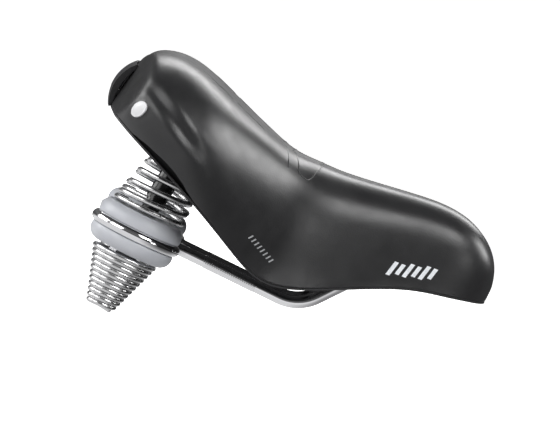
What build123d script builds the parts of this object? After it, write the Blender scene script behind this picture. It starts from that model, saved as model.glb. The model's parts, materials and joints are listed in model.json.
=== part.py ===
from build123d import *
import os
from math import atan2, cos, degrees, radians, sin, tan

# Sprung comfort saddle, in millimetres.
# Origin: midway between the rails, on their axes, at the middle of the clamp zone.
# +X points to the nose, +Y to the rider's left, +Z up.

# --- rails ---
WIRE_R = 3.5
RAIL_Y = 22.0
BEND_X = 41.2
RISE_DEG = 52.5
NOSE_X = 118.0
NOSE_Z = 58.0
NOSE_LOOP_Y = 14.0
NOSE_LOOP_BEND = 8.0
LOWER_BEND = 26.0
UPPER_BEND = 20.0
FLARE_BEND = 30.0
FLARE_DEG = 13.0
RING_R = 24.5
RING_ARC = 312.0

# --- spring units ---
UNIT_X = -64.1
UNIT_Y = 54.5
LEAN_DEG = 5.3
RUN_CLEARANCE = 0.05
ELASTOMER_HALF = 12.5
ELASTOMER_R = 25.9
ELASTOMER_TOP_R = 22.3
ELASTOMER_BOTTOM_R = 21.0
ROD_R = 5.3
POST_R = 6.45
SHOULDER_S = 22.3
POST_TOP_S = 51.6
POST_BOTTOM_S = -24.0
WASHER_R = 9.0
WASHER_T = 1.9
NUT_FLATS = 15.0
NUT_T = 6.0
SPOT_FACE_S = -11.0
MAIN_WIRE_R = 1.65
MAIN_BOTTOM_R = 20.3
MAIN_TAPER_DEG = 13.0
MAIN_PITCH = 7.0
MAIN_BOTTOM_S = 17.0
MAIN_HEIGHT = 29.0
CONE_WIRE_R = 1.52
CONE_TOP_R = 18.7
CONE_BOTTOM_R = 6.9
CONE_TOP_Z = -14.3
CONE_BOTTOM_Z = -48.0
CONE_TURNS = 11

# --- spring cups and the towers that carry them ---
CUP_R = 19.6
CUP_S = 48.4
CUP_T = 6.0
SOCKET_R = 8.9
SOCKET_TOP_S = 52.4
COLLAR_R = 11.0
COLLAR_S = 43.4
CUP_BOLT_PCR = 14.8
CUP_BOLT_R = 2.0
CUP_BOLT_HEAD_R = 3.4
TOWER_WALL = 3.0
TOWER_FLOOR = 4.0

# --- upholstery: x, half width, top, lower edge, half width at the edge, foam depth ---
STATIONS = [
    (-114, 70, 82, 62, 66, 10),
    (-107, 87, 92.5, 59.4, 81, 15),
    (-97, 102, 100, 55.3, 93, 20),
    (-80, 112, 103, 48.8, 103.5, 22),
    (-60, 113, 99, 41, 105.5, 22),
    (-36, 100, 91.2, 30.4, 96.5, 21),
    (-10, 77.5, 83.6, 17, 76, 20),
    (14, 58, 81.7, 8, 59.5, 19),
    (42, 45.5, 84, 15, 46.5, 17),
    (72, 37, 89, 29.8, 38, 16),
    (100, 32, 91.5, 41.6, 32.5, 15),
    (119, 27, 87, 46, 26.5, 14),
    (131, 19.5, 78.5, 48.6, 19, 12),
    (138, 10, 67.5, 50.2, 9.5, 9),
    (140.2, 5, 60, 51, 4.5, 6),
]
SHELL_STATIONS = STATIONS[:-2]
DIP = 3.0
COVER_T = 1.2
FOAM_SIDE = 6.0
SHELL_T = 2.8
LIP_INSET = 0.3
LIP_DROP = 1.35
LIP_GAP = 0.15
LEG = 40.0
ROOF_Z = 140.0
HALF_WIDTH = 150.0

# --- rear face: a large leaning cylinder, scooped out in the middle for the fingers ---
REAR_X = -112.5
REAR_Z = 61.0
REAR_LEAN_DEG = 9.5
REAR_R = 420.0
SCOOP_R = 55.0
SCOOP_DEPTH = 11.0
REAR_CUT_HEIGHT = 160.0
REAR_ROUND = 6.0

# --- handle ---
HANDLE_HALF_DEG = 6.4
LUG_Y = 40.0
LUG_W = 8.0
LUG_H = 7.0
LUG_V = 5.5
LUG_CLEARANCE = 0.2
SCREW_R = 1.9
SCREW_HEAD_R = 3.8
SCREW_HEAD_T = 2.6
SCREW_LENGTH = 9.0

# --- nose clip ---
CLIP_HALF_Y = 6.3
CLIP_BODY_R = 6.6
CLIP_TOP_Z = 66.0
CLIP_FOOT_T = 3.4
CLIP_REAR_X = 98.0
CLIP_SCREW_XS = [102.2, 108.2]
CLIP_SCREW_R = 1.6
CLIP_SCREW_HEAD_R = 2.8
CLIP_SCREW_REACH = 9.5

# --- gel inserts and badges ---
GEL_X = -62.0
GEL_Y = 50.0
GEL_LENGTH = 62.0
GEL_WIDTH = 44.0
GEL_FLOOR_Z = 88.0
BADGE_X = -92.0
BADGE_Z = 67.5
BADGE_LONG_R = 6.2
BADGE_SHORT_R = 4.2
BADGE_T = 1.0
BADGE_TURN_DEG = 24.0

SIDES = [("left", 1), ("right", -1)]
LEAN = (sin(radians(LEAN_DEG)), 0, cos(radians(LEAN_DEG)))
REAR_UP = (sin(radians(REAR_LEAN_DEG)), 0, cos(radians(REAR_LEAN_DEG)))
REAR_IN = (cos(radians(REAR_LEAN_DEG)), 0, -sin(radians(REAR_LEAN_DEG)))


def save(part, name):
    """Label a finished piece and write its STEP file."""
    part.label = name
    export_step(part, f"parts/{name}.step")


def unit_plane(side, s):
    """Plane square to a guide post's leaning axis, s millimetres up it from rail height."""
    origin = (UNIT_X + s * LEAN[0], side * UNIT_Y, s * LEAN[2])
    return Plane(origin=origin, x_dir=(LEAN[2], 0, -LEAN[0]), z_dir=LEAN)


def rear_plane(inset):
    """Plane on the rear face: its x is +Y, its y runs up the face, its z points forward into the seat."""
    origin = (REAR_X + inset * REAR_IN[0], 0, REAR_Z + inset * REAR_IN[2])
    return Plane(origin=origin, x_dir=(0, 1, 0), z_dir=REAR_IN)


def column(plane, radius, height, mode=Mode.ADD):
    """Round bar that stands on a plane."""
    with BuildSketch(plane) as disc:
        Circle(radius)
    extrude(disc.sketch, amount=height, mode=mode)


# ---------------------------------------------------------------- seat forms

def seat_section(x, half, top, dip, edge, edge_half):
    """Closed saddle section at x: crowned top with a central dip, round shoulders, straight legs to foot."""
    height = top - edge
    right = [
        (edge_half, edge),
        (half, edge + 0.52 * height),
        (0.86 * half, top - 0.16 * height),
        (0.46 * half, top),
    ]
    left = [(-y, z) for y, z in reversed(right)]
    with BuildSketch(Plane.YZ.offset(x)) as section:
        with BuildLine():
            Spline(*right, (0, top - dip), *left)
            Polyline((-edge_half, edge), (-edge_half, edge - LEG), (edge_half, edge - LEG), (edge_half, edge))
        make_face()
    return section.sketch


def seat_form(stations, side_inset, top_inset, nose_inset, rear_inset):
    """The saddle's outer form moved inwards, with long legs below the lower edge, trimmed to the rear face.

    The rear edges are rounded, more on a larger form, so that nested forms stay parallel.
    """
    nose_x = stations[-1][0]
    sections = []
    for x, half, top, edge, edge_half, depth in stations:
        inset = depth + top_inset if stations is SHELL_STATIONS else top_inset
        shift = nose_inset if x == nose_x else 0
        dip = DIP * min(1, max(0, (100 - x) / 120))
        sections.append(
            seat_section(x - shift, half - side_inset, top - inset, dip, edge, edge_half - side_inset)
        )
    with BuildPart() as form:
        loft(sections)
        rear_trim(rear_inset)
        if rear_inset < REAR_ROUND:
            fillet([e for e in form.edges() if borders_rear(e.center())], radius=REAR_ROUND - rear_inset)
    return form.part


def borders_rear(point):
    """True for the middle of an edge between the rear face and the top or a wing."""
    depth = (point - Vector(REAR_X, 0, REAR_Z)).dot(Vector(*REAR_IN))
    return depth < 22 and point.Z > 33 and abs(point.Y) < 95


def rear_trim(inset):
    """Keep what lies in front of the rear face, and scoop its middle out, both moved inwards by inset."""
    up = Vector(*REAR_UP)
    forward = Vector(*REAR_IN)
    foot = Vector(REAR_X, 0, REAR_Z) - up * REAR_CUT_HEIGHT / 2
    face_plane = Plane(origin=foot + forward * REAR_R, x_dir=(0, 1, 0), z_dir=up)
    scoop_plane = Plane(origin=foot - forward * (SCOOP_R - SCOOP_DEPTH), x_dir=(0, 1, 0), z_dir=up)
    column(face_plane, REAR_R - inset, REAR_CUT_HEIGHT, mode=Mode.INTERSECT)
    column(scoop_plane, SCOOP_R + inset, REAR_CUT_HEIGHT, mode=Mode.SUBTRACT)


def above_edge(offset):
    """Everything above the saddle's lower edge line, which is moved up by offset."""
    with BuildPart() as block:
        with BuildSketch(Plane.XZ):
            with BuildLine():
                edge = Spline(*[(x, low + offset) for x, _, _, low, _, _ in STATIONS])
                Polyline(edge @ 1, (160, offset + 52), (160, ROOF_Z), (-140, ROOF_Z), (-140, offset + 72), edge @ 0)
            make_face()
        extrude(amount=HALF_WIDTH, both=True)
    return block.part


# ---------------------------------------------------------------- rails

def make_rail_frame():
    """One wire: nose loop, two legs down to the level clamp rails, and a ring round each elastomer."""
    flare = radians(FLARE_DEG)
    join_x = UNIT_X - RING_R * sin(flare)
    join_y = UNIT_Y - RING_R * cos(flare)
    flare_x = join_x + (join_y - RAIL_Y) / tan(flare)
    shoulder_x = BEND_X + NOSE_Z / tan(radians(RISE_DEG))
    half = [
        (join_x, join_y, 0),
        (flare_x, RAIL_Y, 0),
        (BEND_X, RAIL_Y, 0),
        (shoulder_x, RAIL_Y, NOSE_Z),
        (NOSE_X, NOSE_LOOP_Y, NOSE_Z),
    ]
    bends = [FLARE_BEND, LOWER_BEND, UPPER_BEND, NOSE_LOOP_BEND]
    other_half = [(x, -y, z) for x, y, z in reversed(half)]
    print("level rail from", flare_x + FLARE_BEND * tan(flare / 2))
    print("to", BEND_X - LOWER_BEND * tan(radians(RISE_DEG) / 2))
    with BuildPart() as rail_frame:
        with BuildLine() as route:
            FilletPolyline(*half, *other_half, radius=bends + bends[::-1])
            CenterArc((UNIT_X, UNIT_Y), RING_R, -90 - FLARE_DEG, -RING_ARC)
            CenterArc((UNIT_X, -UNIT_Y), RING_R, 90 + FLARE_DEG, RING_ARC)
        path = route.wire()
        with BuildSketch(Plane(origin=path @ 0, z_dir=path % 0)):
            Circle(WIRE_R)
        sweep(path=path)
    print("wire length", path.length, "volume", rail_frame.part.volume)
    return rail_frame.part


# ---------------------------------------------------------------- spring units

def make_elastomer(side):
    """Rubber bush with a waist groove for the wire ring, and a leaning bore for the guide post."""
    groove = WIRE_R + 0.1
    lip_r = RING_R + 0.9
    centre = (UNIT_X, side * UNIT_Y, 0)
    with BuildPart() as bush:
        with BuildSketch(Plane(origin=centre, x_dir=(1, 0, 0), z_dir=(0, -1, 0))):
            with BuildLine():
                Polyline((lip_r, groove), (RING_R, groove))
                ThreePointArc((RING_R, groove), (RING_R - groove, 0), (RING_R, -groove))
                Polyline((RING_R, -groove), (lip_r, -groove))
                ThreePointArc((lip_r, -groove), (25.4, -8.4), (ELASTOMER_BOTTOM_R, -ELASTOMER_HALF))
                Polyline(
                    (ELASTOMER_BOTTOM_R, -ELASTOMER_HALF),
                    (0, -ELASTOMER_HALF),
                    (0, ELASTOMER_HALF),
                    (ELASTOMER_TOP_R, ELASTOMER_HALF),
                )
                ThreePointArc((ELASTOMER_TOP_R, ELASTOMER_HALF), (ELASTOMER_R - 0.3, 8.2), (lip_r, groove))
            make_face()
        revolve(axis=Axis(centre, (0, 0, 1)))
        column(unit_plane(side, -ELASTOMER_HALF * 2), ROD_R + RUN_CLEARANCE, ELASTOMER_HALF * 4, Mode.SUBTRACT)
        column(unit_plane(side, -ELASTOMER_HALF * 2), WASHER_R + 1, ELASTOMER_HALF * 2 + SPOT_FACE_S, Mode.SUBTRACT)
    return bush.part


def make_coil(centre, direction, radius, taper_deg, pitch, height, wire_r):
    """Conical coil spring that narrows along direction."""
    with BuildPart() as coil:
        with BuildLine() as route:
            Helix(pitch, height, radius, center=centre, direction=direction, cone_angle=-taper_deg)
        path = route.wire()
        with BuildSketch(Plane(origin=path @ 0, z_dir=path % 0)):
            Circle(wire_r)
        sweep(path=path, is_frenet=True)
    return coil.part


def make_main_spring(side):
    """Open beehive spring between the elastomer and the spring cup."""
    foot = unit_plane(side, MAIN_BOTTOM_S).origin
    return make_coil(foot, LEAN, MAIN_BOTTOM_R, MAIN_TAPER_DEG, MAIN_PITCH, MAIN_HEIGHT, MAIN_WIRE_R)


def make_cone_spring(side):
    """Closed-wound tail spring below the elastomer, round the post's lower end."""
    height = CONE_TOP_Z - CONE_BOTTOM_Z
    taper = degrees(atan2(CONE_TOP_R - CONE_BOTTOM_R, height))
    top = (UNIT_X, side * UNIT_Y, CONE_TOP_Z)
    return make_coil(top, (0, 0, -1), CONE_TOP_R, taper, height / CONE_TURNS, height, CONE_WIRE_R)


def make_guide_post(side):
    """Stepped post: a slim rod through the elastomer, and a thicker head above the shoulder."""
    with BuildPart() as post:
        column(unit_plane(side, POST_BOTTOM_S), ROD_R, SHOULDER_S - POST_BOTTOM_S)
        column(unit_plane(side, SHOULDER_S), POST_R, POST_TOP_S - SHOULDER_S)
        ends = post.edges().filter_by(GeomType.CIRCLE).sort_by(Axis.Z)
        chamfer([ends[0], ends[-1]], length=1.2)
    return post.part


def make_washer(side):
    """Rebound washer under the elastomer."""
    with BuildPart() as washer:
        with BuildSketch(unit_plane(side, SPOT_FACE_S - RUN_CLEARANCE - WASHER_T)):
            Circle(WASHER_R)
            Circle(ROD_R, mode=Mode.SUBTRACT)
        extrude(amount=WASHER_T)
    return washer.part


def make_nut(side):
    """Hexagon lock nut below the washer, chamfered at its lower corners."""
    with BuildPart() as nut:
        with BuildSketch(unit_plane(side, SPOT_FACE_S - RUN_CLEARANCE - WASHER_T - NUT_T)):
            RegularPolygon(NUT_FLATS / 2, 6, major_radius=False)
            Circle(ROD_R, mode=Mode.SUBTRACT)
        extrude(amount=NUT_T)
    return nut.part


# ---------------------------------------------------------------- seat pieces

def make_spring_cup(side):
    """Disc bolted under a tower, with a blind socket for the post's head and a collar inside the spring."""
    socket_depth = SOCKET_TOP_S - COLLAR_S
    with BuildPart() as cup:
        column(unit_plane(side, CUP_S), CUP_R, CUP_T)
        column(unit_plane(side, COLLAR_S), COLLAR_R, CUP_S - COLLAR_S)
        column(unit_plane(side, COLLAR_S), SOCKET_R, socket_depth, Mode.SUBTRACT)
        with BuildSketch(unit_plane(side, CUP_S)):
            with PolarLocations(CUP_BOLT_PCR, 3):
                Circle(CUP_BOLT_R + 0.1)
        extrude(amount=CUP_T, mode=Mode.SUBTRACT)
        with BuildSketch(unit_plane(side, CUP_S)):
            with PolarLocations(CUP_BOLT_PCR, 3):
                Circle(CUP_BOLT_HEAD_R + 0.2)
        extrude(amount=CUP_T / 2, mode=Mode.SUBTRACT)
    return cup.part


def make_cup_bolts():
    """Three bolts for each cup, as separate solids."""
    with BuildPart() as bolts:
        for _, side in SIDES:
            with BuildSketch(unit_plane(side, CUP_S + 0.3)) as heads:
                with PolarLocations(CUP_BOLT_PCR, 3):
                    Circle(CUP_BOLT_HEAD_R)
            extrude(heads.sketch, amount=CUP_T / 2 - 0.3)
            with BuildSketch(unit_plane(side, CUP_S + CUP_T / 2)) as shanks:
                with PolarLocations(CUP_BOLT_PCR, 3):
                    Circle(CUP_BOLT_R)
            extrude(shanks.sketch, amount=CUP_T / 2 + TOWER_FLOOR)
    return bolts.part


def make_nose_clip():
    """Bearing block round the nose loop, with a foot for its two screws."""
    foot_bottom = CLIP_TOP_Z - CLIP_FOOT_T
    front_x = NOSE_X + CLIP_BODY_R
    with BuildPart() as clip:
        with BuildSketch(Plane.XZ):
            with Locations((NOSE_X, NOSE_Z)):
                Circle(CLIP_BODY_R)
            Polygon(
                (NOSE_X - CLIP_BODY_R, NOSE_Z),
                (front_x, NOSE_Z),
                (front_x, CLIP_TOP_Z),
                (CLIP_REAR_X, CLIP_TOP_Z),
                (CLIP_REAR_X, foot_bottom),
                (NOSE_X - CLIP_BODY_R, foot_bottom),
                align=None,
            )
            with Locations((NOSE_X, NOSE_Z)):
                Circle(WIRE_R + RUN_CLEARANCE, mode=Mode.SUBTRACT)
        extrude(amount=CLIP_HALF_Y, both=True)
        with BuildSketch(Plane.XY.offset(foot_bottom)):
            with Locations(*[(x, 0) for x in CLIP_SCREW_XS]):
                Circle(CLIP_SCREW_R + 0.1)
        extrude(amount=CLIP_FOOT_T, mode=Mode.SUBTRACT)
    return clip.part


def make_nose_clip_screws():
    """Two pan-head screws up through the clip's foot, as separate solids."""
    foot_bottom = CLIP_TOP_Z - CLIP_FOOT_T
    with BuildPart() as screws:
        for x in CLIP_SCREW_XS:
            head_plane = Plane((x, 0, foot_bottom - 2.2))
            column(head_plane, CLIP_SCREW_HEAD_R, 2.2)
            column(Plane((x, 0, foot_bottom)), CLIP_SCREW_R, CLIP_SCREW_REACH)
    return screws.part


def make_lip():
    """Thin flange that turns out under the cover's lower edge."""
    with BuildPart() as lip:
        add(lip_form)
        add(above_edge(-LIP_DROP), mode=Mode.INTERSECT)
        add(above_edge(-LIP_GAP), mode=Mode.SUBTRACT)
    return lip.part


def make_shell_insides():
    """Towers for the spring cups, ribs, and a boss for the nose clip, all inside the shell's outer form."""
    with BuildPart() as insides:
        for _, side in SIDES:
            column(unit_plane(side, CUP_S + CUP_T), CUP_R, 60)
            with BuildSketch(Plane.XZ.offset(-side * 13)) as long_rib:
                Polygon(
                    (-98, 67), (-60, 64), (-36, 57), (-10, 50), (14, 50.5), (42, 55), (60, 59),
                    (60, ROOF_Z), (-98, ROOF_Z),
                    align=None,
                )
            extrude(long_rib.sketch, amount=1, both=True)
        for x, half_y, low in ((-34, 80, 56), (4, 42, 49.5)):
            with Locations((x, 0, (low + ROOF_Z) / 2)):
                Box(2, 2 * half_y, ROOF_Z - low)
        with Locations(((CLIP_REAR_X + NOSE_X + CLIP_BODY_R) / 2, 0, (CLIP_TOP_Z + ROOF_Z) / 2)):
            Box(NOSE_X + CLIP_BODY_R - CLIP_REAR_X, 2 * CLIP_HALF_Y, ROOF_Z - CLIP_TOP_Z)
        add(shell_outer, mode=Mode.INTERSECT)
    return insides.part


def make_base_shell():
    """Moulded shell with a flange at its edge; the towers open upwards, under the foam."""
    floor_s = CUP_S + CUP_T + TOWER_FLOOR
    with BuildPart() as shell:
        add(shell_outer)
        add(above_edge(-LIP_DROP), mode=Mode.INTERSECT)
        add(make_lip())
        add(shell_inner, mode=Mode.SUBTRACT)
        add(make_shell_insides())
        for _, side in SIDES:
            column(unit_plane(side, floor_s), CUP_R - TOWER_WALL, 60, Mode.SUBTRACT)
            with BuildSketch(unit_plane(side, floor_s - TOWER_FLOOR)) as bolt_holes:
                with PolarLocations(CUP_BOLT_PCR, 3):
                    Circle(CUP_BOLT_R)
            extrude(bolt_holes.sketch, amount=TOWER_FLOOR, mode=Mode.SUBTRACT)
        for x in CLIP_SCREW_XS:
            column(Plane((x, 0, CLIP_TOP_Z)), CLIP_SCREW_R, CLIP_SCREW_REACH, Mode.SUBTRACT)
        with BuildSketch(rear_plane(0)) as screw_holes:
            with Locations((-LUG_Y, LUG_V), (LUG_Y, LUG_V)):
                Circle(SCREW_R)
        extrude(screw_holes.sketch, amount=16, mode=Mode.SUBTRACT)
    return shell.part


def lug_block(clearance, depth):
    """Two blocks that run forward from the handle through the rear wall."""
    with BuildPart() as blocks:
        with BuildSketch(rear_plane(-1)):
            with Locations((-LUG_Y, LUG_V), (LUG_Y, LUG_V)):
                Rectangle(LUG_W + 2 * clearance, LUG_H + 2 * clearance)
        extrude(amount=depth)
    return blocks.part


def make_rear_handle():
    """Curved grab plate behind the rear face, arched below for the fingers, with a lug at each end."""
    axis_origin = rear_plane(REAR_R).origin
    gap = 0.15
    with BuildPart() as handle:
        with BuildSketch(Plane(origin=rear_plane(0).origin, x_dir=REAR_IN, z_dir=(0, -1, 0))) as profile:
            with BuildLine():
                ThreePointArc((-1.0, 27.6), (-5.7, 11.0), (-0.6, -2.0))
                Polyline((-0.6, -2.0), (-gap, -1.5), (-gap, 1.5))
                ThreePointArc((-gap, 1.5), (-2.2, 12.5), (-gap, 24.5))
                Polyline((-gap, 24.5), (-gap, 27.2), (-1.0, 27.6))
            make_face()
        revolve(profile.sketch, axis=Axis(axis_origin, REAR_UP), revolution_arc=HANDLE_HALF_DEG)
        revolve(profile.sketch, axis=Axis(axis_origin, REAR_UP), revolution_arc=-HANDLE_HALF_DEG)
        with BuildSketch(rear_plane(-12)) as arch:
            with Locations((0, -2)):
                RectangleRounded(60, 20, 7)
        extrude(arch.sketch, amount=24, mode=Mode.SUBTRACT)
        add(lug_block(0, 14))
        column(
            Plane(origin=axis_origin - Vector(*REAR_UP) * 50, x_dir=(0, 1, 0), z_dir=REAR_UP),
            REAR_R - FOAM_SIDE,
            100,
            Mode.SUBTRACT,
        )
        with BuildSketch(rear_plane(1.5)) as screw_holes:
            with Locations((-LUG_Y, LUG_V), (LUG_Y, LUG_V)):
                Circle(SCREW_R)
        extrude(screw_holes.sketch, amount=16, mode=Mode.SUBTRACT)
    return handle.part


def make_handle_screws():
    """Two screws driven from inside the shell into the handle's lugs, as separate solids."""
    head_n = FOAM_SIDE + SHELL_T + 2.4
    with BuildPart() as screws:
        with BuildSketch(rear_plane(head_n)) as heads:
            with Locations((-LUG_Y, LUG_V), (LUG_Y, LUG_V)):
                Circle(SCREW_HEAD_R)
        extrude(heads.sketch, amount=SCREW_HEAD_T)
        with BuildSketch(rear_plane(head_n - SCREW_LENGTH)) as shanks:
            with Locations((-LUG_Y, LUG_V), (LUG_Y, LUG_V)):
                Circle(SCREW_R)
        extrude(shanks.sketch, amount=SCREW_LENGTH)
    return screws.part


def gel_block(side):
    """Oval column whose floor is flat and whose top is cut by the cover."""
    with BuildPart() as block:
        with BuildSketch(Plane.XY.offset(GEL_FLOOR_Z)):
            with Locations((GEL_X, side * GEL_Y)):
                Ellipse(GEL_LENGTH / 2, GEL_WIDTH / 2)
        extrude(amount=ROOF_Z - GEL_FLOOR_Z)
        add(skin_inner, mode=Mode.INTERSECT)
    return block.part


def make_foam_pad():
    """Moulded foam between the cover and the shell, with beds for the gel inserts."""
    with BuildPart() as foam:
        add(skin_inner)
        add(above_edge(0), mode=Mode.INTERSECT)
        add(shell_outer, mode=Mode.SUBTRACT)
        for _, side in SIDES:
            add(gel_block(side), mode=Mode.SUBTRACT)
        add(lug_block(LUG_CLEARANCE, 16), mode=Mode.SUBTRACT)
    return foam.part


def make_cover():
    """Vinyl skin over the foam."""
    with BuildPart() as cover:
        add(outer_form)
        add(above_edge(0), mode=Mode.INTERSECT)
        add(skin_inner, mode=Mode.SUBTRACT)
        add(lug_block(LUG_CLEARANCE, 16), mode=Mode.SUBTRACT)
    return cover.part


def make_badge(side):
    """Blank oval badge that follows the wing's surface."""
    outward = Vector(-0.5, 0.86 * side, 0)
    along = Vector(0.86, 0.5 * side, 0)
    lean = radians(BADGE_TURN_DEG)
    long_axis = along * sin(lean) + Vector(0, 0, 1) * cos(lean)
    with BuildPart() as badge:
        with BuildSketch(Plane(origin=(BADGE_X, side * 104, BADGE_Z), x_dir=long_axis, z_dir=outward)):
            Ellipse(BADGE_LONG_R, BADGE_SHORT_R)
        extrude(amount=14, both=True)
        add(badge_form, mode=Mode.INTERSECT)
        add(outer_form, mode=Mode.SUBTRACT)
    return badge.part


os.makedirs("parts", exist_ok=True)
outer_form = seat_form(STATIONS, 0, 0, 0, 0)
skin_inner = seat_form(STATIONS, COVER_T, COVER_T, COVER_T, COVER_T)
shell_outer = seat_form(SHELL_STATIONS, FOAM_SIDE, 0, 0, FOAM_SIDE)
shell_inner = seat_form(SHELL_STATIONS, FOAM_SIDE + SHELL_T, SHELL_T, SHELL_T, FOAM_SIDE + SHELL_T)
lip_form = seat_form(STATIONS, LIP_INSET, LIP_INSET, LIP_INSET, LIP_INSET)
badge_form = seat_form(STATIONS, -BADGE_T, -BADGE_T, -BADGE_T, -BADGE_T)

save(make_rail_frame(), "rail_frame")
for label, side in SIDES:
    save(make_elastomer(side), f"elastomer_{label}")
    save(make_main_spring(side), f"main_spring_{label}")
    save(make_cone_spring(side), f"cone_spring_{label}")
    save(make_guide_post(side), f"guide_post_{label}")
    save(make_washer(side), f"rebound_washer_{label}")
    save(make_nut(side), f"lock_nut_{label}")
    save(make_spring_cup(side), f"spring_cup_{label}")
    save(gel_block(side), f"gel_insert_{label}")
    save(make_badge(side), f"badge_{label}")
save(make_cup_bolts(), "cup_bolts")
save(make_nose_clip(), "nose_clip")
save(make_nose_clip_screws(), "nose_clip_screws")
save(make_base_shell(), "base_shell")
save(make_foam_pad(), "foam_pad")
save(make_cover(), "cover")
save(make_rear_handle(), "rear_handle")
save(make_handle_screws(), "handle_screws")
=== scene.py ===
import json
import math

import bmesh
import bpy
import numpy as np
from mathutils import Matrix, Vector
from mathutils.bvhtree import BVHTree


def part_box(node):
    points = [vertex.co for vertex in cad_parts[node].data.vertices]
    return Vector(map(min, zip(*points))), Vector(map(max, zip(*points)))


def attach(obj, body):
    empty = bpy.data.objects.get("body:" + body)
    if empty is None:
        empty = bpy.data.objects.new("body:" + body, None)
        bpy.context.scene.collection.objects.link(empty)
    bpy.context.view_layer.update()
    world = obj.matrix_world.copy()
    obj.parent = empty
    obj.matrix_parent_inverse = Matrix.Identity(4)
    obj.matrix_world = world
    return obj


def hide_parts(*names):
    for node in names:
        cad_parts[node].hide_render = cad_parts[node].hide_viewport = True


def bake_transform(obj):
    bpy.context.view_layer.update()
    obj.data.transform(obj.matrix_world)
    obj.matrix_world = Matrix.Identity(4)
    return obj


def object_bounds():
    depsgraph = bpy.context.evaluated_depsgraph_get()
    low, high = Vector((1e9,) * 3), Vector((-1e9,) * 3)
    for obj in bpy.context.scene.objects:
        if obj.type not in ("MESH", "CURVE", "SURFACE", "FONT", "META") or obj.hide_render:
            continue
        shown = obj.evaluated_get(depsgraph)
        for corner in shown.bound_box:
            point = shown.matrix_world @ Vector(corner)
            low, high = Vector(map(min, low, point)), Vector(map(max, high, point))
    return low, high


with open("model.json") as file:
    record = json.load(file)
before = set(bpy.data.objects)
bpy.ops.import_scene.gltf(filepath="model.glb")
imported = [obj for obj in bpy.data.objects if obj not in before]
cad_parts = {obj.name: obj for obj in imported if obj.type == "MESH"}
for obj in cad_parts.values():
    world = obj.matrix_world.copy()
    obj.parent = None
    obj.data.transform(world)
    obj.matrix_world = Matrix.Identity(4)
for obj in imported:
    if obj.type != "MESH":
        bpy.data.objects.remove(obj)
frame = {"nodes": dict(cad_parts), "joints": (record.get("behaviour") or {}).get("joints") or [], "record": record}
cad_low, cad_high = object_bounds()
nodes = frame["nodes"]

SIDES = (("left", 1), ("right", -1))
MM = 0.001

# --- camera, in the saddle's frame ---
TARGET = Vector((0.008, 0.0, 0.04305))
CAMERA_AZIMUTH = math.radians(-1.245)
CAMERA_ELEVATION = math.radians(2.957)
CAMERA_ROLL = math.radians(26.153)
CAMERA_DISTANCE = 2.474
CAMERA_LENS = 267.3

# --- springs ---
MAIN_WIRE_R = 0.00165
MAIN_TURNS = 5.5
MAIN_START_TURN = 0.38
MAIN_SEAT = 0.0484  # along the post, from rail height to the spring cup's underside
MAIN_HEIGHTS = (0.0142, 0.0184, 0.026, 0.034, 0.0405, 0.0468)
MAIN_RADII = (0.0207, 0.0203, 0.0182, 0.0170, 0.0150, 0.0137)
CONE_WIRE_R = 0.0016
CONE_TURNS = 11
CONE_TOP_R = 0.0187
CONE_TIP_R = 0.0069
WIRE_GAP = 0.0001

# --- cover mesh ---
COLUMNS = 552
RINGS = 116
RAYS = 300
SPINE_REAR = -0.078
SPINE_FRONT = 0.108
COVER_T = 0.0012
HEM_R = 0.0005
BLUR_SIGMA = 1.6
REAR_SHARE = 0.165  # share of the way round taken by the fan of columns at the rear
NOSE_SHARE = 0.055
CREASE_DEPTH = 0.0011
CREASE_WIDTH = 0.0030
CREASE_SHOULDER = 0.0004
CREASE = ((-99, 84.3), (-80, 75.8), (-62, 65.8), (-43, 56.5))
TOP_LINES = (
    ((-70, 50), (-60, 56), (-48, 56)),
    ((-44, 55), (-34, 55), (-24, 53)),
    ((-1.3, 57), (-6, 42), (-9, 25), (-11, 0)),
    ((6, 52), (1.5, 40), (-1, 24), (-3, 0)),
    ((3.8, 51), (9, 51), (14, 46), (17.5, 24), (19, 0)),
)
BEAD_R = 0.00042
PRINT_T = 0.00006
NOSE_BARS = tuple((80 + 4.6 * i, 46 + 1.45 * i, 2.5, 9.0 - 2.0 * (i % 2), 0.3, 5.0) for i in range(6))
FLANK_TICKS = tuple((-3.2 + 2.4 * i, 28.2 - 1.15 * i, 0.8, 3.0, 0.2, -25.0) for i in range(8))
KNURL_FROM = -0.021
KNURL_TO = 0.013
KNURL_HEIGHT = 0.00016
KNURL_STARTS = 18
KNURL_LEAD = 0.022
KNURL_RUN_OUT = 0.0015
BADGE_LONG_R = 0.0062
BADGE_SHORT_R = 0.0042
BADGE_LEAN = math.radians(46)
BADGE_RINGS = (0, 0.2, 0.4, 0.6, 0.76, 0.84, 0.9, 0.95, 0.985, 1.0, 1.0)
BADGE_HEIGHTS = (0.95, 0.94, 0.92, 0.88, 0.84, 0.84, 0.98, 1.0, 0.88, 0.55, -0.6)
DISH_DEPTH = 0.00055

# --- light: name, place, aim, width, height, watts ---
LIGHTS = (
    ("back_bank", (0.0, 1.5, 1.33), (0, 0, 0.05), 1.8, 0.7, 24),
    ("left_bank", (-1.6, -1.3, 0.55), (0, 0, 0.03), 1.3, 1.3, 17),
    ("left_back", (-2.0, 0.2, 0.4), (0, 0, 0.0), 1.4, 1.2, 26),
    ("right_bank", (1.6, 0.3, 1.2), (0, 0, 0.05), 0.9, 0.9, 24),
    ("front_top", (0.75, -1.4, 1.25), (0, 0, 0.06), 0.9, 0.9, 21),
    ("nose_side", (1.75, -1.55, 0.32), (0.1, 0, 0.06), 0.5, 0.5, 4),
)
# grey level of the room by height: 0 straight down, 0.5 the horizon, 1 straight up
ROOM_LEVELS = (
    (0.0, 0.8), (0.25, 0.8), (0.37, 0.9), (0.45, 0.12),
    (0.50, 0.07), (0.62, 0.15), (0.80, 0.10), (1.0, 0.05),
)


# ---------------------------------------------------------------- helpers

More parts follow.
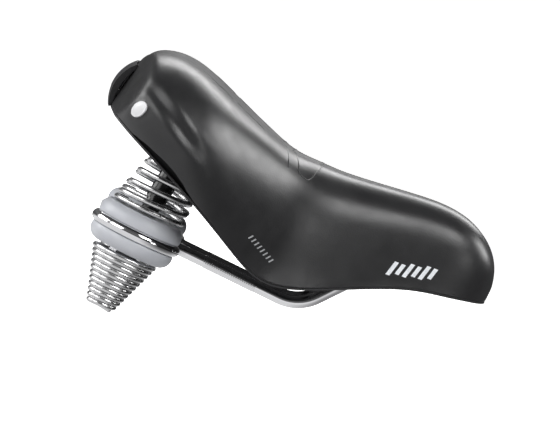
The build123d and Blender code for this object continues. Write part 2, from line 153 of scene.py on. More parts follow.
def smooth_step(t):
    """0 to 1 with level ends, for t from 0 to 1 and beyond."""
    t = np.clip(t, 0.0, 1.0)
    return t * t * (3 - 2 * t)


def new_piece(name, verts, faces, material, body):
    """A smooth-shaded mesh piece that rides on a body."""
    mesh = bpy.data.meshes.new(name)
    mesh.from_pydata([tuple(v) for v in verts], [], [tuple(f) for f in faces])
    mesh.validate()
    mesh.polygons.foreach_set("use_smooth", [True] * len(mesh.polygons))
    mesh.materials.append(material)
    piece = bpy.data.objects.new(name, mesh)
    bpy.context.scene.collection.objects.link(piece)
    if body:
        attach(piece, body)
    return piece


def sharpen(piece, degrees):
    """Edges sharper than this angle stay crisp."""
    piece.data.set_sharp_from_angle(angle=math.radians(degrees))


def tube(points, radius, around=20, cap_rounds=4):
    """Vertices and faces of a round bar along points, with rounded ends."""
    points = np.asarray(points, float)
    tangents = np.gradient(points, axis=0)
    tangents /= np.linalg.norm(tangents, axis=1)[:, None]
    normal = np.cross(tangents[0], (0.0, 0.0, 1.0))
    if np.linalg.norm(normal) < 1e-6:
        normal = np.cross(tangents[0], (0.0, 1.0, 0.0))
    turn = np.linspace(0, 2 * math.pi, around, endpoint=False)
    rings = []
    frames = []
    for tangent in tangents:
        normal = normal - tangent * normal.dot(tangent)
        normal /= np.linalg.norm(normal)
        frames.append((normal, np.cross(tangent, normal), tangent))
    cap = np.linspace(0, math.pi / 2, cap_rounds, endpoint=False)

    def ring(centre, side, other, scale):
        return centre + radius * scale * (np.cos(turn)[:, None] * side + np.sin(turn)[:, None] * other)

    side, other, along = frames[0]
    for a in cap:
        rings.append(ring(points[0] - along * radius * math.cos(a), side, other, math.sin(a) + 1e-3))
    for centre, (side, other, along) in zip(points, frames):
        rings.append(ring(centre, side, other, 1.0))
    for a in cap[::-1]:
        rings.append(ring(points[-1] + along * radius * math.cos(a), side, other, math.sin(a) + 1e-3))
    verts = np.concatenate(rings)
    faces = []
    for i in range(len(rings) - 1):
        for j in range(around):
            k = (j + 1) % around
            faces.append((i * around + j, i * around + k, (i + 1) * around + k, (i + 1) * around + j))
    last = (len(rings) - 1) * around
    faces.append(tuple(range(around))[::-1])
    faces.append(tuple(range(last, last + around)))
    return verts, faces


# ---------------------------------------------------------------- materials

class Shader:
    """Small helper that builds one procedural Principled material."""

    def __init__(self, name, color, metallic=0.0, roughness=0.5, **sockets):
        self.material = bpy.data.materials.new(name)
        self.material.use_nodes = True
        self.tree = self.material.node_tree
        self.shader = self.tree.nodes["Principled BSDF"]
        self.shader.inputs["Base Color"].default_value = (*color, 1)
        self.shader.inputs["Metallic"].default_value = metallic
        self.shader.inputs["Roughness"].default_value = roughness
        for key, value in sockets.items():
            self.shader.inputs[key.replace("_", " ")].default_value = value
        self.coordinates = self.tree.nodes.new("ShaderNodeTexCoord")
        self.height = None

    def node(self, kind):
        return self.tree.nodes.new(kind)

    def link(self, a, b):
        self.tree.links.new(a, b)

    def noise(self, scale, detail, stretch=(1, 1, 1)):
        place = self.node("ShaderNodeMapping")
        place.inputs["Scale"].default_value = stretch
        self.link(self.coordinates.outputs["Object"], place.inputs["Vector"])
        made = self.node("ShaderNodeTexNoise")
        made.inputs["Scale"].default_value = scale
        made.inputs["Detail"].default_value = detail
        self.link(place.outputs["Vector"], made.inputs["Vector"])
        return made.outputs["Fac"]

    def cells(self, scale):
        made = self.node("ShaderNodeTexVoronoi")
        made.feature = "SMOOTH_F1"
        made.inputs["Scale"].default_value = scale
        self.link(self.coordinates.outputs["Object"], made.inputs["Vector"])
        return made.outputs["Distance"]

    def span(self, fac, low, high):
        made = self.node("ShaderNodeMapRange")
        made.inputs["From Min"].default_value = 0.3
        made.inputs["From Max"].default_value = 0.7
        made.inputs["To Min"].default_value = low
        made.inputs["To Max"].default_value = high
        self.link(fac, made.inputs["Value"])
        return made.outputs["Result"]

    def vary_roughness(self, fac, low, high):
        self.link(self.span(fac, low, high), self.shader.inputs["Roughness"])

    def vary_color(self, fac, dark, light, from_low=0.3, from_high=0.7):
        ramp = self.node("ShaderNodeValToRGB")
        ramp.color_ramp.elements[0].position = from_low
        ramp.color_ramp.elements[1].position = from_high
        ramp.color_ramp.elements[0].color = (*dark, 1)
        ramp.color_ramp.elements[1].color = (*light, 1)
        self.link(fac, ramp.inputs["Fac"])
        self.link(ramp.outputs["Color"], self.shader.inputs["Base Color"])

    def bump(self, fac, distance, strength):
        made = self.node("ShaderNodeBump")
        made.inputs["Strength"].default_value = strength
        made.inputs["Distance"].default_value = distance
        self.link(fac, made.inputs["Height"])
        if self.height is not None:
            self.link(self.height, made.inputs["Normal"])
        self.height = made.outputs["Normal"]
        self.link(self.height, self.shader.inputs["Normal"])


def vinyl_material():
    """Black satin cover skin: fine grain, with slightly uneven sheen."""
    s = Shader("vinyl", (0.02, 0.02, 0.021), roughness=0.4)
    s.vary_color(s.noise(60, 4), (0.017, 0.017, 0.018), (0.024, 0.024, 0.025))
    s.vary_roughness(s.noise(140, 5), 0.31, 0.38)
    s.bump(s.cells(1500), 0.00006, 0.45)
    s.bump(s.noise(2600, 2), 0.00003, 0.4)
    return s.material


def chrome_material(name, tint, roughness):
    """Bright plated metal, polished a little unevenly."""
    s = Shader(name, tint, metallic=1.0, roughness=roughness)
    s.vary_roughness(s.noise(300, 4), roughness * 0.7, roughness * 1.4)
    s.bump(s.noise(90, 2), 0.00004, 0.25)
    return s.material


def rubber_material():
    """Light blue-grey elastomer with a faint milky unevenness."""
    s = Shader("elastomer", (0.46, 0.48, 0.52), roughness=0.36, Subsurface_Weight=0.12)
    s.shader.inputs["Subsurface Radius"].default_value = (0.002, 0.002, 0.0025)
    s.vary_color(s.noise(40, 4), (0.50, 0.515, 0.55), (0.58, 0.595, 0.63))
    s.vary_roughness(s.noise(180, 4), 0.30, 0.44)
    s.bump(s.noise(900, 3), 0.00004, 0.35)
    return s.material


def plastic_material(name, dark, light, rough_low, rough_high, grain, grain_height):
    """Moulded black plastic: spark-eroded grain and faint flow marks."""
    s = Shader(name, light, roughness=rough_high)
    s.vary_color(s.noise(35, 5), dark, light)
    s.vary_roughness(s.noise(220, 4), rough_low, rough_high)
    s.bump(s.noise(grain, 3), grain_height, 0.5)
    return s.material


def plated_material(name, dark, light, rough_low, rough_high):
    """Zinc or black-oxide steel with fine drawn marks."""
    s = Shader(name, light, metallic=1.0, roughness=rough_high)
    s.vary_color(s.noise(120, 5), dark, light)
    s.vary_roughness(s.noise(400, 5, (1, 1, 6)), rough_low, rough_high)
    s.bump(s.noise(1500, 2, (1, 1, 8)), 0.00003, 0.4)
    return s.material


def print_material(name, thin, full):
    """Screen print, a little thin in places."""
    s = Shader(name, full, roughness=0.45)
    s.vary_color(s.noise(800, 4), thin, full, 0.25, 0.55)
    s.bump(s.noise(2400, 2), 0.00002, 0.3)
    return s.material


def floor_material():
    """Plain white paper that also glows a little."""
    s = Shader("floor", (0.92, 0.92, 0.92), roughness=0.9)
    s.shader.inputs["Emission Color"].default_value = (1, 1, 1, 1)
    s.shader.inputs["Emission Strength"].default_value = 1.0
    return s.material


vinyl = vinyl_material()
chrome = chrome_material("chrome_rails", (0.80, 0.80, 0.81), 0.10)
spring_chrome = chrome_material("chrome_springs", (0.66, 0.66, 0.665), 0.24)
badge_metal = chrome_material("badge_metal", (0.74, 0.74, 0.75), 0.42)
badge_metal.node_tree.nodes["Principled BSDF"].inputs["Metallic"].default_value = 0.25
rubber = rubber_material()
shell_plastic = plastic_material(
    "shell",
    (0.012, 0.012, 0.013), (0.022, 0.022, 0.024),
    0.45, 0.62, 2200, 0.00008,
)
handle_plastic = plastic_material(
    "handle",
    (0.018, 0.018, 0.019), (0.028, 0.028, 0.030),
    0.36, 0.48, 2600, 0.00004,
)
post_plastic = plastic_material(
    "post",
    (0.006, 0.006, 0.006), (0.012, 0.012, 0.013),
    0.16, 0.26, 900, 0.00002,
)
zinc = plated_material("zinc", (0.50, 0.50, 0.52), (0.68, 0.68, 0.70), 0.22, 0.36)
black_oxide = plated_material("black_oxide", (0.03, 0.03, 0.032), (0.07, 0.07, 0.075), 0.3, 0.45)
white_print = print_material("print_white", (0.72, 0.75, 0.79), (0.9, 0.92, 0.95))
grey_print = print_material("print_grey", (0.30, 0.31, 0.32), (0.42, 0.43, 0.44))

# CAD nodes that stay as they are, with their materials
KEPT = {
    "rail_frame": chrome,
    "base_shell": shell_plastic,
    "rear_handle": handle_plastic,
    "nose_clip": shell_plastic,
    "nose_clip_screws": black_oxide,
    "handle_screws": black_oxide,
    "cup_bolts": black_oxide,
}
for side_name, _ in SIDES:
    KEPT[f"elastomer_{side_name}"] = rubber
    KEPT[f"guide_post_{side_name}"] = post_plastic
    KEPT[f"spring_cup_{side_name}"] = shell_plastic
    KEPT[f"rebound_washer_{side_name}"] = zinc
    KEPT[f"lock_nut_{side_name}"] = zinc
for node_name, material in KEPT.items():
    slots = nodes[node_name].data.materials
    if len(slots) == 0:
        slots.append(material)
    for i in range(len(slots)):
        slots[i] = material


# ---------------------------------------------------------------- camera

def make_camera():
    """Long-lens camera at the saddle's side, rolled so that the nose points down to the right."""
    back = Vector((
        math.sin(CAMERA_AZIMUTH) * math.cos(CAMERA_ELEVATION),
        -math.cos(CAMERA_AZIMUTH) * math.cos(CAMERA_ELEVATION),
        math.sin(CAMERA_ELEVATION),
    ))
    up = Vector((-math.sin(CAMERA_ROLL), 0, math.cos(CAMERA_ROLL)))
    up = (up - back * up.dot(back)).normalized()
    right = up.cross(back)
    camera = bpy.data.objects.new("camera", bpy.data.cameras.new("camera"))
    bpy.context.scene.collection.objects.link(camera)
    camera.data.lens = CAMERA_LENS
    camera.data.sensor_width = 36.0
    camera.data.clip_start = 0.05
    camera.data.clip_end = 100
    place = TARGET + back * CAMERA_DISTANCE
    camera.matrix_world = Matrix((
        (right.x, up.x, back.x, place.x),
        (right.y, up.y, back.y, place.y),
        (right.z, up.z, back.z, place.z),
        (0, 0, 0, 1),
    ))
    bpy.context.scene.camera = camera


make_camera()


# ---------------------------------------------------------------- cover

# how far each column heads sideways: 1 on the flanks, 0 straight to the rear or the front
SIDEWAYS = np.zeros(COLUMNS)


def node_mesh(name):
    """Vertices and triangles of a CAD node."""
    mesh = nodes[name].data
    verts = np.empty(len(mesh.vertices) * 3, np.float32)
    mesh.vertices.foreach_get("co", verts)
    mesh.calc_loop_triangles()
    triangles = np.empty(len(mesh.loop_triangles) * 3, np.int32)
    mesh.loop_triangles.foreach_get("vertices", triangles)
    return verts.reshape(-1, 3).astype(float), triangles.reshape(-1, 3)


def lower_edge_line(verts, triangles):
    """Height of the cover's lower edge as a function of x: the lowest crossing of its mesh edges."""
    a, b = verts[triangles], verts[triangles[:, [1, 2, 0]]]
    a, b = a.reshape(-1, 3), b.reshape(-1, 3)
    ahead = a[:, 0] < b[:, 0]
    a, b = a[ahead], b[ahead]
    xs = np.linspace(verts[:, 0].min() + 1e-4, verts[:, 0].max() - 1e-4, 260)
    zs = []
    for x in xs:
        crossing = (a[:, 0] <= x) & (b[:, 0] > x)
        p, q = a[crossing], b[crossing]
        t = (x - p[:, 0]) / (q[:, 0] - p[:, 0])
        zs.append((p[:, 2] + t * (q[:, 2] - p[:, 2])).min())
    return xs, np.array(zs)


def spine_column(tau):
    """Start on the spine and plan heading for a place tau, 0 to 1, once round the seat from the rear."""
    t = tau % 1.0
    mirrored = t > 0.5
    t = 1 - t if mirrored else t
    if t < REAR_SHARE:
        x = SPINE_REAR
        heading = math.pi - (math.pi / 2) * t / REAR_SHARE
    elif t > 0.5 - NOSE_SHARE:
        x = SPINE_FRONT
        heading = (math.pi / 2) * (0.5 - t) / NOSE_SHARE
    else:
        share = (t - REAR_SHARE) / (0.5 - NOSE_SHARE - REAR_SHARE)
        x = SPINE_REAR + (SPINE_FRONT - SPINE_REAR) * share
        heading = math.pi / 2
    return x, -heading if mirrored else heading


def ray_height(x):
    """Height on the spine that the rays aim at."""
    return float(np.interp(x, (-0.08, 0.0, 0.06, 0.11), (0.072, 0.050, 0.055, 0.064)))


def trace_column(tree, edge, tau, rays):
    """Points down one column, from the top of the spine to the cover's lower edge."""
    x, heading = spine_column(tau)
    aim = Vector((x, 0, ray_height(x)))
    flat = Vector((math.cos(heading), math.sin(heading), 0))
    step = math.radians(170) / rays

    def cast(angle, previous):
        """The outer surface at this angle, or None below the cover's lower edge."""
        out = flat * math.cos(angle) + Vector((0, 0, math.sin(angle)))
        hit, normal, _, _ = tree.ray_cast(aim + out * 0.4, -out)
        if hit is None or hit.z < np.interp(hit.x, *edge) or normal.z * np.sign(normal.dot(out)) < -0.6:
            return None
        if previous is not None and (hit - previous).length > 6 * step * (hit - aim).length:
            return None
        return hit

    points = []
    angle = math.pi / 2
    end = cast(angle, None)
    while end is not None:
        points.append(end)
        angle -= step
        end = cast(angle, points[-1])
    low, high = angle, angle + step
    end = points[-1]
    for _ in range(14):
        middle = (low + high) / 2
        hit = cast(middle, end)
        if hit is None:
            low = middle
        else:
            high = middle
            end = hit
    points.append(end)
    return np.array(points)


def resample(points, count):
    """The same line with evenly spaced points."""
    steps = np.linalg.norm(np.diff(points, axis=0), axis=1)
    along = np.concatenate(([0], np.cumsum(steps)))
    places = np.linspace(0, along[-1], count)
    return np.stack([np.interp(places, along, points[:, k]) for k in range(3)], 1)


def blur_along(grid, axis, wrap):
    """Gaussian blur of a grid of points along one axis.

    Across the spine, a column on the flank carries on down the other side.
    """
    reach = int(math.ceil(3 * BLUR_SIGMA))
    weights = np.exp(-0.5 * (np.arange(-reach, reach + 1) / BLUR_SIGMA) ** 2)
    weights /= weights.sum()
    if wrap:
        before, after = grid.take(range(-reach, 0), axis), grid.take(range(reach), axis)
    else:
        first, last = grid.take([0], axis), grid.take([-1], axis)
        across = grid[(-np.arange(COLUMNS)) % COLUMNS][:, reach:0:-1]
        before = 2 * first - grid.take(range(reach, 0, -1), axis)
        before = before + (across - before) * SIDEWAYS[:, None, None]
        after = 2 * last - grid.take(range(-2, -reach - 2, -1), axis)
    padded = np.concatenate((before, grid, after), axis)
    count = grid.shape[axis]
    return sum(w * padded.take(range(i, i + count), axis) for i, w in enumerate(weights))


def grid_normals(grid):
    """Outward normals of the closed grid of columns and rings."""
    around = np.roll(grid, -1, 0) - np.roll(grid, 1, 0)
    down = np.gradient(grid, axis=1)
    normal = np.cross(down, around)
    length = np.linalg.norm(normal, axis=2)[:, :, None]
    normal = np.where(length > 1e-12, normal / np.maximum(length, 1e-12), 0)
    normal[:, 0] = normal[:, 1]
    outward = grid - np.array((0.0, 0.0, 0.05))
    flip = np.sign((normal[len(grid) // 4, 60] * outward[len(grid) // 4, 60]).sum())
    return normal * flip


def cover_grid():
    """Smooth grid of points over the outside of the seat, columns by rings."""
    verts, triangles = node_mesh("cover")
    edge = lower_edge_line(verts, triangles)
    tree = BVHTree.FromPolygons([tuple(v) for v in verts], [tuple(t) for t in triangles])
    coarse = [trace_column(tree, edge, tau, 90)[-1] for tau in np.linspace(0, 0.5, 121)]
    steps = np.linalg.norm(np.diff(coarse, axis=0), axis=1)
    along = np.concatenate(([0], np.cumsum(steps)))
    places = np.linspace(0, along[-1], COLUMNS // 2 + 1)
    taus = np.interp(places, along, np.linspace(0, 0.5, 121))
    sideways = np.array([math.sin(spine_column(tau)[1]) ** 2 for tau in taus])
    SIDEWAYS[:] = np.concatenate((sideways, sideways[1:-1][::-1]))
    half = np.array([resample(trace_column(tree, edge, tau, RAYS), RINGS) for tau in taus])
    mirror = half[1:-1][::-1] * np.array((1, -1, 1))
    return np.concatenate((half, mirror))


def groove(grid, normals):
    """Push the crease into the wings: a soft groove with raised shoulders, along a line in x and z."""
    line = np.array(CREASE) * MM
    flat = grid[:, :, (0, 2)]
    nearest = np.full(grid.shape[:2], 9.0)
    place = np.zeros(grid.shape[:2])
    lengths = np.linalg.norm(np.diff(line, axis=0), axis=1)
    before = np.concatenate(([0], np.cumsum(lengths)))
    for k, (a, b) in enumerate(zip(line[:-1], line[1:])):
        t = np.clip(((flat - a) @ (b - a)) / ((b - a) @ (b - a)), 0, 1)
        away = np.linalg.norm(flat - (a + t[:, :, None] * (b - a)), axis=2)
        closer = away < nearest
        nearest = np.where(closer, away, nearest)
        place = np.where(closer, (before[k] + t * lengths[k]) / before[-1], place)
    fade = smooth_step(place / 0.25) * smooth_step((1 - place) / 0.35)
    on_wing = smooth_step((np.abs(grid[:, :, 1]) - 0.055) / 0.02)
    ratio = nearest / CREASE_WIDTH
    profile = CREASE_SHOULDER * np.exp(-(ratio - 2.1) ** 2 / 0.8) - CREASE_DEPTH * np.exp(-ratio ** 2)
    return grid + normals * (profile * fade * on_wing)[:, :, None]


def badge_place(side):
    """Centre, outward normal, and long and short directions of a badge."""
    low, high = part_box(f"badge_{'left' if side > 0 else 'right'}")
    centre = (low + high) / 2
    outward = Vector((-0.5, 0.86 * side, 0)).normalized()
    along = Vector((0.86, 0.5 * side, 0)).normalized()
    long_way = along * math.sin(BADGE_LEAN) + Vector((0, 0, 1)) * math.cos(BADGE_LEAN)
    return centre, outward, long_way, outward.cross(long_way)


def badge_dish(grid, normals):
    """A shallow dish round each badge."""
    for _, side in SIDES:
        centre, _, long_way, short_way = badge_place(side)
        offset = grid - np.array(centre)
        u = offset @ np.array(long_way) / BADGE_LONG_R
        v = offset @ np.array(short_way) / BADGE_SHORT_R
        ratio = np.sqrt(u * u + v * v)
        near = np.linalg.norm(offset, axis=2) < 0.03
        out = (ratio - 1.0) * BADGE_SHORT_R
        fade = np.exp(-np.clip(out - 0.0009, 0, 1) / 0.0016)
        depth = DISH_DEPTH * smooth_step((out + 0.0001) / 0.0009) * fade
        grid = grid - normals * (depth * near)[:, :, None]
    return grid


def close_spine(grid, poles):
    """Bring both halves onto the same points along the spine, and each end fan onto one point."""
    grid[:, 0, 1] = 0
    for end_x in (SPINE_REAR, SPINE_FRONT):
        fan = np.abs(poles - end_x) < 1e-6
        grid[fan, 0] = grid[fan, 0].mean(axis=0)
    half = COLUMNS // 2
    grid[half + 1:, 0] = grid[1:half, 0][::-1]


def make_cover():
    """The upholstery: one closed skin with a turned hem, shaped over the foam."""
    grid = cover_grid()
    poles = grid[:, 0, 0].copy()
    edge_ring = grid[:, -1].copy()
    for _ in range(2):
        grid = blur_along(grid, 0, True)
        grid = blur_along(grid, 1, False)
    grid[:, -1] = blur_along(edge_ring, 0, True)
    close_spine(grid, poles)
    normals = grid_normals(grid)
    grid = groove(grid, normals)
    grid = badge_dish(grid, normals)
    close_spine(grid, poles)
    normals = grid_normals(grid)
    edge, outward = grid[:, -1], normals[:, -1]
    down = grid[:, -1] - grid[:, -2]
    down /= np.linalg.norm(down, axis=1)[:, None]
    layers = [grid[:, i] for i in range(RINGS)]
    layers[-1] = edge - down * HEM_R
    for angle in (30, 60, 90):
        a = math.radians(angle)
        layers.append(edge - outward * HEM_R * (1 - math.cos(a)) + down * HEM_R * (math.sin(a) - 1))
    layers.append(layers[-1] - outward * COVER_T * 0.5)
    for i in range(RINGS - 3, 0, -9):
        layers.append(grid[:, i] - normals[:, i] * COVER_T)
    layers.append(grid[:, 0] - np.array((0, 0, COVER_T)))
    verts = np.concatenate(layers)
    faces = []
    for i in range(len(layers) - 1):
        here, below = i * COLUMNS, (i + 1) * COLUMNS
        for j in range(COLUMNS):
            k = (j + 1) % COLUMNS
            faces.append((here + j, below + j, below + k, here + k))
    piece = new_piece("cover_skin", verts, faces, vinyl, None)
    weld(piece, 0.00001)
    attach(piece, "seat")
    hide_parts("cover", "foam_pad", "gel_insert_left", "gel_insert_right")
    return piece


def weld(piece, distance):
    """Merge points that coincide and drop the faces that this leaves flat."""
    work = bmesh.new()
    work.from_mesh(piece.data)
    bmesh.ops.remove_doubles(work, verts=work.verts, dist=distance)
    bmesh.ops.dissolve_degenerate(work, edges=work.edges, dist=distance)
    bmesh.ops.recalc_face_normals(work, faces=work.faces)
    work.to_mesh(piece.data)
    work.free()


# ---------------------------------------------------------------- springs

def unit_frame(label):
    """Rail-height centre of a spring unit and the direction its post leans."""
    low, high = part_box(f"elastomer_{label}")
    centre = (low + high) / 2
    joint = next(j for j in frame["joints"] if j["name"] == f"post_{label}_slide")
    return Vector((centre.x, centre.y, 0)), -Vector(joint["axis"]), high.z


def make_main_spring(label):
    """Open beehive spring with closed ends: level on the elastomer, square to the post at the cup."""
    centre, lean, foot_z = unit_frame(label)
    head = MAIN_SEAT - MAIN_WIRE_R
    foot = foot_z + MAIN_WIRE_R + WIRE_GAP
    closed = 2 * MAIN_WIRE_R + WIRE_GAP
    t = np.linspace(0, MAIN_TURNS, 620)
    turns = (0, 1, MAIN_TURNS - 1, MAIN_TURNS)
    rise = np.interp(t, turns, (0, closed, head - foot - closed, head - foot))
    kernel = np.exp(-0.5 * (np.arange(-30, 31) / 10.0) ** 2)
    kernel /= kernel.sum()
    padded = np.concatenate((2 * rise[0] - rise[30:0:-1], rise, 2 * rise[-1] - rise[-2:-32:-1]))
    s = foot + np.convolve(padded, kernel, "valid")
    radius = np.interp(s, MAIN_HEIGHTS, MAIN_RADII)
    phase = 2 * math.pi * (t + MAIN_START_TURN)
    tilt = smooth_step((s - foot) / (head - foot))
    lean_x = lean.x / lean.z
    across = radius * np.cos(phase)
    x = centre.x + s * lean_x + across
    y = centre.y + radius * np.sin(phase)
    z = s - across * lean_x * tilt
    verts, faces = tube(np.stack((x, y, z), 1), MAIN_WIRE_R, 22)
    piece = new_piece(f"coil_main_{label}", verts, faces, spring_chrome, None)
    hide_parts(f"main_spring_{label}")
    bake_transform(piece)


def make_cone_spring(label):
    """Closed-wound tail spring under the elastomer, round the post's end."""
    low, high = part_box(f"cone_spring_{label}")
    centre = (low + high) / 2
    t = np.linspace(0, CONE_TURNS, 1150)
    share = t / CONE_TURNS
    z_top, z_bottom = high.z - CONE_WIRE_R, low.z + CONE_WIRE_R
    radius = CONE_TOP_R + (CONE_TIP_R - CONE_TOP_R) * share
    z = z_top + (z_bottom - z_top) * share
    x = centre.x + radius * np.cos(-2 * math.pi * t + 0.6)
    y = centre.y + radius * np.sin(-2 * math.pi * t + 0.6)
    verts, faces = tube(np.stack((x, y, z), 1), CONE_WIRE_R, 20)
    piece = new_piece(f"coil_cone_{label}", verts, faces, spring_chrome, "rails")
    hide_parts(f"cone_spring_{label}")


# ---------------------------------------------------------------- badges

def make_badge(label, side, tree):
    """Domed blank oval badge with a raised rim, laid on the wing."""
    centre, outward, long_way, short_way = badge_place(side)
    around = 72
    verts = []
    for share, height in zip(BADGE_RINGS, BADGE_HEIGHTS):
        for k in range(around):
            a = 2 * math.pi * k / around
            flat = long_way * (BADGE_LONG_R * share * math.cos(a))
            flat += short_way * (BADGE_SHORT_R * share * math.sin(a))
            hit, _, _, _ = tree.ray_cast(centre + flat + outward * 0.02, -outward)
            verts.append(hit + outward * height * MM)
    faces = []
    for i in range(len(BADGE_RINGS) - 1):
        for j in range(around):
            k = (j + 1) % around
            faces.append((i * around + j, i * around + k, (i + 1) * around + k, (i + 1) * around + j))
    last = (len(BADGE_RINGS) - 1) * around
    faces.append(tuple(range(last, last + around)))
    piece = new_piece(f"badge_oval_{label}", verts, faces, badge_metal, None)
    weld(piece, 0.000005)
    sharpen(piece, 50)
    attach(piece, "seat")
    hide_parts(f"badge_{label}")


# ---------------------------------------------------------------- trim

def on_cover(tree, x, y):
    """Point and normal on top of the cover."""
    hit, normal, _, _ = tree.ray_cast(Vector((x, y, 0.3)), Vector((0, 0, -1)))
    return hit, normal


def curve_through(points, count):
    """Smooth line through a few plan points, by Catmull-Rom pieces."""
    p = np.array([points[0], *points, points[-1]], float) * MM
    out = []
    for i in range(1, len(p) - 2):
        for t in np.linspace(0, 1, count, endpoint=i == len(p) - 3):
            a = 2 * p[i]
            b = (p[i + 1] - p[i - 1]) * t
            c = (2 * p[i - 1] - 5 * p[i] + 4 * p[i + 1] - p[i + 2]) * t * t
            d = (3 * p[i] - p[i - 1] - 3 * p[i + 1] + p[i + 2]) * t ** 3
            out.append(0.5 * (a + b + c + d))
    return np.array(out)


def make_top_lines(tree):
    """Plain raised lines moulded into the top, the same on both sides."""
    for label, side in SIDES:
        verts, faces = [], []
        for points in TOP_LINES:
            route = curve_through(points, 14)
            line = [on_cover(tree, x, y * side) for x, y in route]
            centre = np.array([hit - normal * BEAD_R * 0.45 for hit, normal in line])
            bead_verts, bead_faces = tube(centre, BEAD_R, 10)
            start = len(verts)
            verts.extend(bead_verts)
            faces.extend([tuple(i + start for i in f) for f in bead_faces])
        new_piece(f"top_lines_{label}", verts, faces, vinyl, "seat")


def make_print(name, bars, tree, label, side, material):
    """Screen-printed bars on the cover's side: centre x and z, length, height, slant and tilt of each."""
    verts, faces = [], []
    along, across = 10, 8
    for x, z, length, height, slant, tilt in bars:
        turn = math.radians(tilt)
        start = len(verts)
        for sunk in (0, 1):
            for i in range(along + 1):
                for j in range(across + 1):
                    v = (j / across - 0.5) * height
                    u = (i / along - 0.5) * length + v * slant
                    px = (x + u * math.cos(turn) - v * math.sin(turn)) * MM
                    pz = (z + u * math.sin(turn) + v * math.cos(turn)) * MM
                    beside, inward = Vector((px, 0.3 * side, pz)), Vector((0, -side, 0))
                    hit, normal, _, _ = tree.ray_cast(beside, inward)
                    verts.append(hit + normal * (-0.0001 if sunk else PRINT_T))
        row = across + 1
        layer = (along + 1) * row
        for i in range(along):
            for j in range(across):
                a = start + i * row + j
                faces.append((a, a + row, a + row + 1, a + 1))
                faces.append((a + layer, a + layer + 1, a + layer + row + 1, a + layer + row))
        ring = [i * row for i in range(along)] + [along * row + j for j in range(across)]
        ring += [i * row + across for i in range(along, 0, -1)] + [j for j in range(across, 0, -1)]
        for a, b in zip(ring, ring[1:] + ring[:1]):
            faces.append((start + a, start + b, start + b + layer, start + a + layer))
    piece = new_piece(f"{name}_{label}", verts, faces, material, None)
    weld(piece, 0.000002)
    sharpen(piece, 40)
    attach(piece, "seat")


def make_knurl(label):
    """Knurled grip zone of one rail, where the clamp closes on it."""
    mount = next(m for m in frame["record"]["mounts"] if m["name"] == f"rail_{label}")
    radius = mount["dims"]["r_mm"] * MM
    rings, around = 300, 108
    along = np.linspace(KNURL_FROM, KNURL_TO, rings)
    turn = np.linspace(0, 2 * math.pi, around, endpoint=False)
    twist = 2 * math.pi * along / KNURL_LEAD
    one = np.abs(np.sin(KNURL_STARTS / 2 * (turn[None, :] + twist[:, None])))
    other = np.abs(np.sin(KNURL_STARTS / 2 * (turn[None, :] - twist[:, None])))
    fade = smooth_step((along - KNURL_FROM) / KNURL_RUN_OUT)
    fade *= smooth_step((KNURL_TO - along) / KNURL_RUN_OUT)
    r = radius + 0.00002 + KNURL_HEIGHT * np.minimum(one, other) * fade[:, None]
    r[0], r[-1] = radius - 0.0002, radius - 0.0002
    y = mount["pos_m"][1] + r * np.cos(turn)[None, :]
    z = mount["pos_m"][2] + r * np.sin(turn)[None, :]
    x = np.repeat(along[:, None], around, 1)
    verts = np.stack((x, y, z), 2).reshape(-1, 3)
    faces = []
    for i in range(rings - 1):
        for j in range(around):
            k = (j + 1) % around
            faces.append((i * around + j, i * around + k, (i + 1) * around + k, (i + 1) * around + j))
    new_piece(f"rail_knurl_{label}", verts, faces, chrome, "rails")


# ---------------------------------------------------------------- stage and light

def make_stage():
    """Plain pale floor just below the springs."""
    floor_z = min(cad_low.z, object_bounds()[0].z) - 0.0005
    verts = [(-30, -30, floor_z), (30, -30, floor_z), (30, 30, floor_z), (-30, 30, floor_z)]
    mesh = bpy.data.meshes.new("floor")
    mesh.from_pydata(verts, [], [(0, 1, 2, 3)])
    mesh.materials.append(floor_material())
    floor = bpy.data.objects.new("floor", mesh)
    bpy.context.scene.collection.objects.link(floor)
    floor.visible_glossy = False
    floor.visible_diffuse = False


def soft_light(name, place, aim, width, height, watts):
    """An area light turned to face a point."""
    data = bpy.data.lights.new(name, "AREA")
    data.shape = "RECTANGLE"
    data.size = width
    data.size_y = height
    data.energy = watts
    lamp = bpy.data.objects.new(name, data)
    bpy.context.scene.collection.objects.link(lamp)
    lamp.location = place
    lamp.rotation_mode = "QUATERNION"
    lamp.rotation_quaternion = (Vector(aim) - Vector(place)).to_track_quat("-Z", "Y")


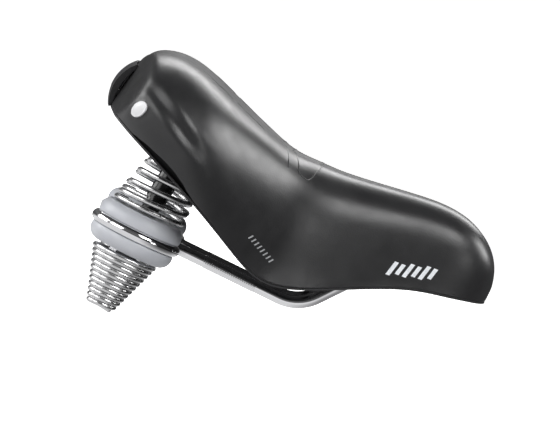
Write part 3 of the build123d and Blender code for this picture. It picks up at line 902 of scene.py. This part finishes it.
def make_world():
    """White to the camera; for light and reflections, a grey room, bright below and dim to the right."""
    world = bpy.data.worlds.new("studio")
    bpy.context.scene.world = world
    world.use_nodes = True
    tree = world.node_tree
    tree.nodes.clear()
    output = tree.nodes.new("ShaderNodeOutputWorld")
    mix = tree.nodes.new("ShaderNodeMixShader")
    path = tree.nodes.new("ShaderNodeLightPath")
    white = tree.nodes.new("ShaderNodeBackground")
    white.inputs["Color"].default_value = (1, 1, 1, 1)
    white.inputs["Strength"].default_value = 1.05
    room = tree.nodes.new("ShaderNodeBackground")
    place = tree.nodes.new("ShaderNodeTexCoord")
    split = tree.nodes.new("ShaderNodeSeparateXYZ")
    ramp = tree.nodes.new("ShaderNodeValToRGB")
    to_unit = tree.nodes.new("ShaderNodeMapRange")
    to_unit.inputs["From Min"].default_value = -1
    to_unit.inputs["From Max"].default_value = 1
    tree.links.new(place.outputs["Generated"], split.inputs["Vector"])
    tree.links.new(split.outputs["Z"], to_unit.inputs["Value"])
    tree.links.new(to_unit.outputs["Result"], ramp.inputs["Fac"])
    elements = ramp.color_ramp.elements
    while len(elements) < len(ROOM_LEVELS):
        elements.new(0.5)
    for element, (position, level) in zip(elements, ROOM_LEVELS):
        element.position = position
        element.color = (level, level, level * 1.01, 1)
    tree.links.new(ramp.outputs["Color"], room.inputs["Color"])
    dim = tree.nodes.new("ShaderNodeMapRange")
    dim.inputs["From Min"].default_value = 0.2
    dim.inputs["From Max"].default_value = 0.9
    dim.inputs["To Min"].default_value = 1.0
    dim.inputs["To Max"].default_value = 0.15
    tree.links.new(split.outputs["X"], dim.inputs["Value"])
    tree.links.new(dim.outputs["Result"], room.inputs["Strength"])
    tree.links.new(path.outputs["Is Camera Ray"], mix.inputs["Fac"])
    tree.links.new(room.outputs["Background"], mix.inputs[1])
    tree.links.new(white.outputs["Background"], mix.inputs[2])
    tree.links.new(mix.outputs["Shader"], output.inputs["Surface"])


cover = make_cover()
for label, side in SIDES:
    make_main_spring(label)
    make_cone_spring(label)
cover_tree = BVHTree.FromPolygons(
    [v.co[:] for v in cover.data.vertices],
    [p.vertices[:] for p in cover.data.polygons],
)
for label, side in SIDES:
    make_badge(label, side, cover_tree)
    make_knurl(label)
    make_print("nose_bars", NOSE_BARS, cover_tree, label, side, white_print)
    make_print("flank_ticks", FLANK_TICKS, cover_tree, label, side, grey_print)
make_top_lines(cover_tree)
make_stage()
make_world()
for light in LIGHTS:
    soft_light(*light)
bpy.context.scene.view_settings.view_transform = "Standard"
